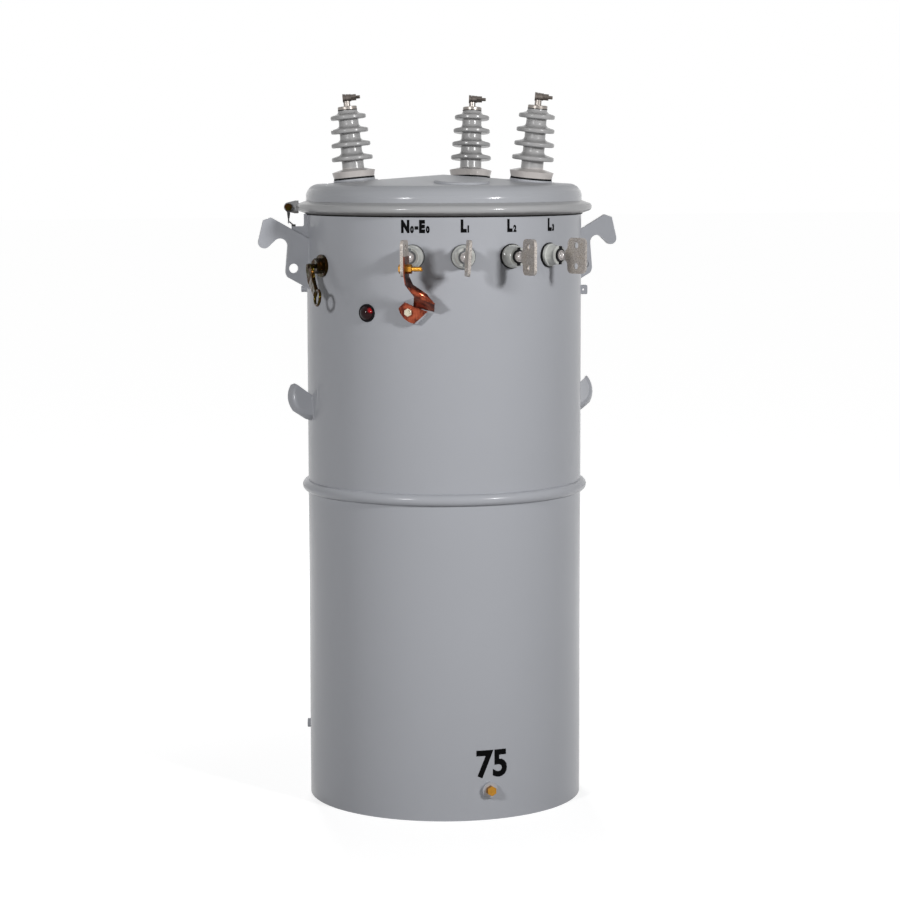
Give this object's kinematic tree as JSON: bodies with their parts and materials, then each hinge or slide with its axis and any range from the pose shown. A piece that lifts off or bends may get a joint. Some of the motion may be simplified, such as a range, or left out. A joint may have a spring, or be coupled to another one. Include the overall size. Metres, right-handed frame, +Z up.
{
  "type": "pole mounted distribution transformer",
  "caption": "Round steel transformer tank with cover mounted high voltage bushings, wall mounted spade terminals, lifting lugs and pole support lugs.",
  "frame": {"origin": "on the tank axis, level with the bottom rim", "axes": "+Z up, low voltage bushings towards -Y, pole support lugs towards +Y"},
  "size_m": [0.8316, 0.7798, 1.569],
  "materials": {
    "tank_paint": "gloss light gray enamel on steel",
    "rubber_black": "black rubber",
    "yellow_zinc": "yellow chromated steel, dark and iridescent",
    "black_lead": "black insulated lead and terminals",
    "copper": "bright copper strip",
    "brass": "bronze and brass hardware",
    "tinned_brass": "tinned bronze",
    "dark_bezel": "black moulded bezel",
    "red_lens": "dark red transparent lens",
    "gray_porcelain": "light gray glazed porcelain",
    "cap_metal": "dull cast and tinned metal",
    "tinned_spade": "tinned bronze casting"
  },
  "bodies": {
    "tank": {"band_bolt": "yellow_zinc", "bond_tab": "tank_paint", "bonding_lead": "black_lead", "breaker_gland": "yellow_zinc", "cleat_left": "tank_paint", "cleat_right": "tank_paint", "cover": "tank_paint", "cover_band": "tank_paint", "cover_gasket": "rubber_black", "ground_bolt": "brass", "ground_pad": "tank_paint", "ground_strap": "copper", "hv_clamp_1": "cap_metal", "hv_clamp_2": "cap_metal", "hv_clamp_3": "cap_metal", "hv_gaskets": "rubber_black", "hv_porcelain_1": "gray_porcelain", "hv_porcelain_2": "gray_porcelain", "hv_porcelain_3": "gray_porcelain", "hv_terminal_1": "cap_metal", "hv_terminal_2": "cap_metal", "hv_terminal_3": "cap_metal", "lifting_lug_left": "tank_paint", "lifting_lug_right": "tank_paint", "lv_gaskets": "rubber_black", "lv_porcelain_0": "gray_porcelain", "lv_porcelain_1": "gray_porcelain", "lv_porcelain_2": "gray_porcelain", "lv_porcelain_3": "gray_porcelain", "lv_spade_0": "tinned_spade", "lv_spade_1": "tinned_spade", "lv_spade_2": "tinned_spade", "lv_spade_3": "tinned_spade", "side_bosses": "tank_paint", "signal_bezel": "dark_bezel", "signal_lens": "red_lens", "strap_bolt_lower": "tinned_brass", "strap_bolt_upper": "brass", "strap_boss": "tank_paint", "support_lug_lower": "tank_paint", "support_lug_upper": "tank_paint", "tank_floor": "tank_paint", "tank_shell": "tank_paint"},
    "handle": {"breaker_handle": "yellow_zinc"}
  },
  "joints": [
    {"name": "breaker_handle_turn", "type": "hinge", "parent": "tank", "child": "handle", "pos_m": [-0.32448, -0.08331, 1.1945], "axis": [-0.9686, -0.2487, 0], "range_deg": [0, 90]}
  ]
}
